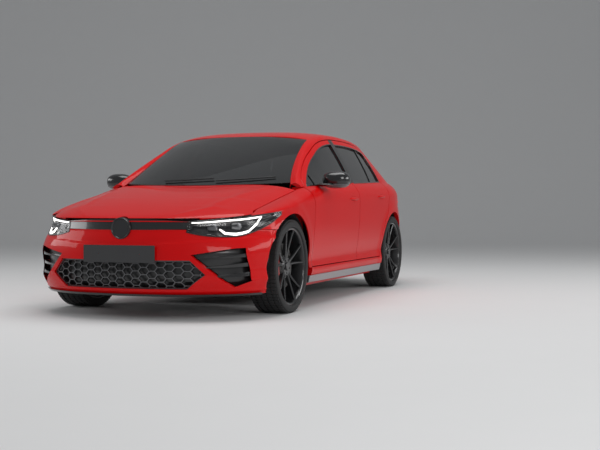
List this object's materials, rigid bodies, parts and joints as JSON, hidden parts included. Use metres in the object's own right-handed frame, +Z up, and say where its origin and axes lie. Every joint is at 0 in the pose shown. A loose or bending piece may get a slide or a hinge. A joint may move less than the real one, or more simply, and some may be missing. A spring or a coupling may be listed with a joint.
{
  "type": "five-door hatchback car",
  "caption": "Five-door hatchback car with opening doors, hood and tailgate, steered front wheels, a hollow cabin and load space.",
  "frame": {"origin": "on the ground, below the middle of the body's length and width", "axes": "+X forward, +Y to the car's left, +Z up"},
  "size_m": [4.2839, 2.078, 1.3745],
  "materials": {
    "paint": "gloss",
    "glass": "tinted",
    "lamp": "clear",
    "tail_lamp": "gloss",
    "black_plastic": "grained",
    "black_gloss": "gloss",
    "satin_grey": "satin",
    "seat_fabric": "woven",
    "cast_iron": "rough",
    "steel": "satin black",
    "plate": "satin",
    "rim": "black, machined edges",
    "tyre": "matte"
  },
  "bodies": {
    "body": {"floor_pan": "steel", "body_sides": "paint", "inner_frame": "paint", "door_hinges": "steel", "roof_panel": "paint", "front_bumper": "paint", "lower_grille": "black_plastic", "upper_grille": "black_gloss", "front_fenders": "paint", "headlamps": "lamp", "windscreen": "glass", "side_skirts": "satin_grey", "rear_bumper": "paint", "rear_valance": "black_plastic", "tail_lamps": "tail_lamp", "dashboard": "black_plastic", "front_seats": "seat_fabric", "rear_seat": "seat_fabric", "engine_block": "cast_iron", "exhaust": "steel", "front_subframe": "steel", "rear_axle": "steel", "number_plate_front": "plate"},
    "hood_lid": {"hood": "paint"},
    "tailgate_lid": {"tailgate": "paint", "tailgate_glass": "glass", "tailgate_lamps": "tail_lamp", "number_plate_rear": "plate"},
    "front_door_left_body": {"front_door_left": "paint", "front_glass_left": "glass", "mirror_left": "black_gloss"},
    "rear_door_left_body": {"rear_door_left": "paint", "rear_glass_left": "glass"},
    "knuckle_left_body": {"knuckle_left": "steel"},
    "wheel_front_left": {"tyre_front_left": "tyre", "rim_front_left": "rim"},
    "wheel_rear_left": {"tyre_rear_left": "tyre", "rim_rear_left": "rim"},
    "front_door_right_body": {"front_door_right": "paint", "front_glass_right": "glass", "mirror_right": "black_gloss"},
    "rear_door_right_body": {"rear_door_right": "paint", "rear_glass_right": "glass"},
    "knuckle_right_body": {"knuckle_right": "steel"},
    "wheel_front_right": {"tyre_front_right": "tyre", "rim_front_right": "rim"},
    "wheel_rear_right": {"tyre_rear_right": "tyre", "rim_rear_right": "rim"},
    "steering_wheel_body": {"steering_wheel": "black_plastic"}
  },
  "joints": [
    {"name": "hood_hinge", "type": "hinge", "parent": "body", "child": "hood_lid", "pos_m": [1, 0, 0.84], "axis": [0, -1, 0], "range_deg": [0, 50]},
    {"name": "tailgate_hinge", "type": "hinge", "parent": "body", "child": "tailgate_lid", "pos_m": [-1.577, 0, 1.276], "axis": [0, 1, 0], "range_deg": [0, 75]},
    {"name": "front_door_left_hinge", "type": "hinge", "parent": "body", "child": "front_door_left_body", "pos_m": [0.785, 0.868, 0.6], "axis": [0, 0, -1], "range_deg": [0, 65]},
    {"name": "rear_door_left_hinge", "type": "hinge", "parent": "body", "child": "rear_door_left_body", "pos_m": [-0.32325, 0.868, 0.6], "axis": [0, 0, -1], "range_deg": [0, 65]},
    {"name": "front_door_right_hinge", "type": "hinge", "parent": "body", "child": "front_door_right_body", "pos_m": [0.785, -0.868, 0.6], "axis": [0, 0, 1], "range_deg": [0, 65]},
    {"name": "rear_door_right_hinge", "type": "hinge", "parent": "body", "child": "rear_door_right_body", "pos_m": [-0.32325, -0.868, 0.6], "axis": [0, 0, 1], "range_deg": [0, 65]},
    {"name": "steer_left", "type": "hinge", "parent": "body", "child": "knuckle_left_body", "pos_m": [1.278, 0.746, 0.3235], "axis": [0, 0, 1], "range_deg": [-35, 35]},
    {"name": "steer_right", "type": "hinge", "parent": "body", "child": "knuckle_right_body", "pos_m": [1.278, -0.746, 0.3235], "axis": [0, 0, 1], "range_deg": [-35, 35]},
    {"name": "steering_wheel_turn", "type": "hinge", "parent": "body", "child": "steering_wheel_body", "pos_m": [0.48, 0.37, 0.84], "axis": [-0.9063, 0, 0.4226], "range_deg": [-490, 490]},
    {"name": "wheel_front_left_spin", "type": "hinge", "parent": "knuckle_left_body", "child": "wheel_front_left", "pos_m": [1.278, 0.766, 0.3235], "axis": [0, 1, 0], "continuous": true},
    {"name": "wheel_rear_left_spin", "type": "hinge", "parent": "body", "child": "wheel_rear_left", "pos_m": [-1.35, 0.766, 0.3235], "axis": [0, 1, 0], "continuous": true},
    {"name": "wheel_front_right_spin", "type": "hinge", "parent": "knuckle_right_body", "child": "wheel_front_right", "pos_m": [1.278, -0.766, 0.3235], "axis": [0, 1, 0], "continuous": true},
    {"name": "wheel_rear_right_spin", "type": "hinge", "parent": "body", "child": "wheel_rear_right", "pos_m": [-1.35, -0.766, 0.3235], "axis": [0, 1, 0], "continuous": true}
  ],
  "couplings": [
    {"joint": "steer_right", "follows": "steer_left", "ratio": 1},
    {"joint": "steering_wheel_turn", "follows": "steer_left", "ratio": 14}
  ]
}
